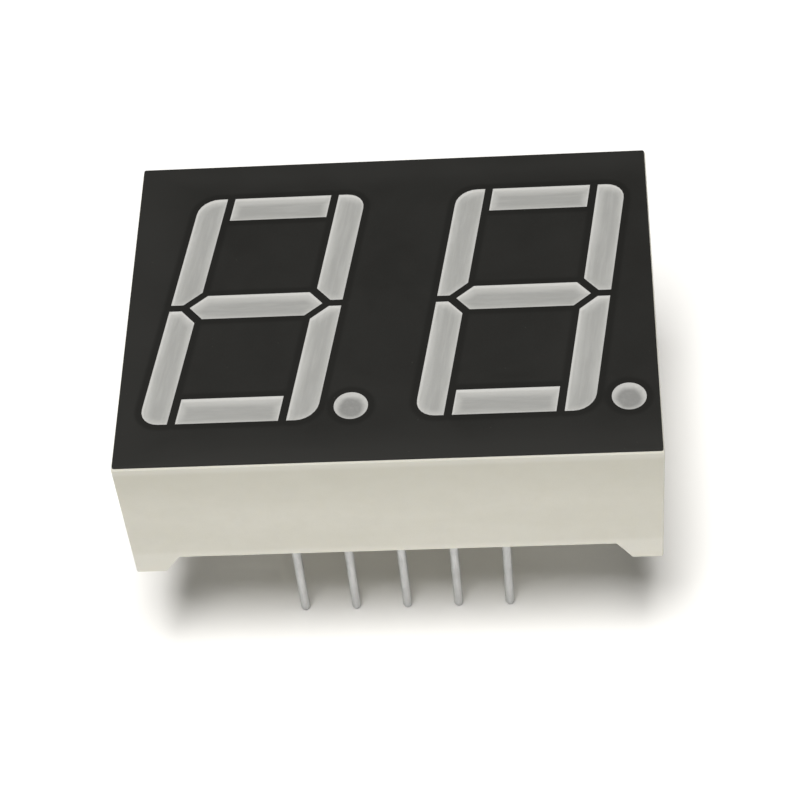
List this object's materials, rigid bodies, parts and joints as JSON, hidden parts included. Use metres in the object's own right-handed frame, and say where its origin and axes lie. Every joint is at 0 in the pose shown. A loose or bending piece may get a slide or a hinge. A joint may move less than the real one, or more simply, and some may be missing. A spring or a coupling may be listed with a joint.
{
  "type": "seven segment display",
  "caption": "Seven segment display with slanted digits and decimal points in a white housing with a black face, soldered to a circuit board by its rows of round pins.",
  "frame": {"origin": "centre of the pin pattern, on the plane of the feet, where the display sits on the circuit board that it is soldered to", "axes": "+Z out of the face, towards the reader; +X along the row of digits, from left to right; +Y up the digits"},
  "size_m": [0.025, 0.019, 0.014],
  "materials": {
    "housing_plastic": "moulded, warm white, very fine grain",
    "face_ink": "printed matt black",
    "segment_resin": "milky cast resin, smooth",
    "board_laminate": "glass laminate, light tan",
    "chip_crystal": "sawn and etched",
    "bond_metal": "drawn wire",
    "seal_resin": "poured resin, smooth",
    "solder": "bright solder",
    "pin_metal": "tinned wire"
  },
  "bodies": {
    "root": {"reflector_housing": "housing_plastic", "front_mask": "face_ink", "left_segment_a": "segment_resin", "left_segment_b": "segment_resin", "left_segment_c": "segment_resin", "left_segment_d": "segment_resin", "left_segment_e": "segment_resin", "left_segment_f": "segment_resin", "left_segment_g": "segment_resin", "left_decimal_point": "segment_resin", "right_segment_a": "segment_resin", "right_segment_b": "segment_resin", "right_segment_c": "segment_resin", "right_segment_d": "segment_resin", "right_segment_e": "segment_resin", "right_segment_f": "segment_resin", "right_segment_g": "segment_resin", "right_decimal_point": "segment_resin", "circuit_board": "board_laminate", "left_chip_a": "chip_crystal", "left_chip_b": "chip_crystal", "left_chip_c": "chip_crystal", "left_chip_d": "chip_crystal", "left_chip_e": "chip_crystal", "left_chip_f": "chip_crystal", "left_chip_g": "chip_crystal", "left_chip_point": "chip_crystal", "right_chip_a": "chip_crystal", "right_chip_b": "chip_crystal", "right_chip_c": "chip_crystal", "right_chip_d": "chip_crystal", "right_chip_e": "chip_crystal", "right_chip_f": "chip_crystal", "right_chip_g": "chip_crystal", "right_chip_point": "chip_crystal", "bond_wires": "bond_metal", "rear_seal": "seal_resin", "solder_joints": "solder", "pin_1": "pin_metal", "pin_2": "pin_metal", "pin_3": "pin_metal", "pin_4": "pin_metal", "pin_5": "pin_metal", "pin_6": "pin_metal", "pin_7": "pin_metal", "pin_8": "pin_metal", "pin_9": "pin_metal", "pin_10": "pin_metal"}
  },
  "joints": []
}
